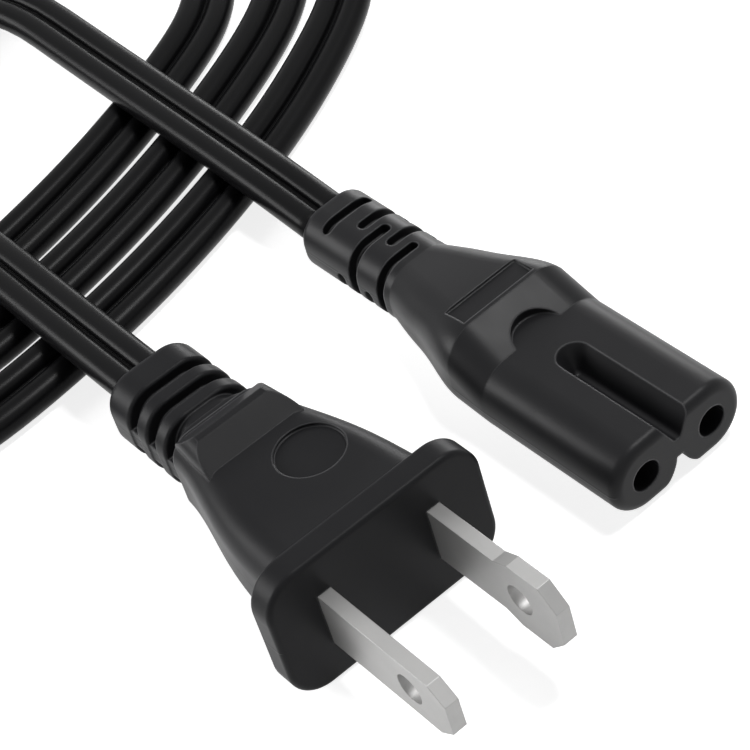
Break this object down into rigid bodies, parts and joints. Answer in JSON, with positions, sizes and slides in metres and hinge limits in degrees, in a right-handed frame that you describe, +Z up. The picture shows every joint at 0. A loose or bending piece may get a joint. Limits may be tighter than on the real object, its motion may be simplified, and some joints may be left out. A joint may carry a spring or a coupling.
{
  "type": "figure eight power connector",
  "caption": "Black figure-eight appliance connector on a coiled flat two-core cord that ends in a polarised two-blade wall plug.",
  "frame": {"origin": "under the middle of the connector, on the surface that it lies on", "axes": "+Y along the connector towards its contact openings, +Z up, +X across the connector towards the plug"},
  "size_m": [0.1185, 0.1545, 0.0151],
  "materials": {
    "black_pvc": "satin",
    "inner_plastic": "satin",
    "contact_metal": "dull",
    "blade_metal": "satin",
    "core_insulation": "satin",
    "cord_pvc": "satin"
  },
  "bodies": {
    "root": {"connector_shell": "black_pvc", "connector_insert": "inner_plastic", "socket_contact_left": "contact_metal", "socket_contact_right": "contact_metal", "connector_core_left": "core_insulation", "connector_core_right": "core_insulation", "plug_shell": "black_pvc", "plug_bridge": "inner_plastic", "plug_core_left": "core_insulation", "plug_core_right": "core_insulation", "narrow_blade": "blade_metal", "wide_blade": "blade_metal", "cord_connector_run": "cord_pvc", "cord_coil": "cord_pvc", "cord_plug_run": "cord_pvc"}
  },
  "joints": []
}
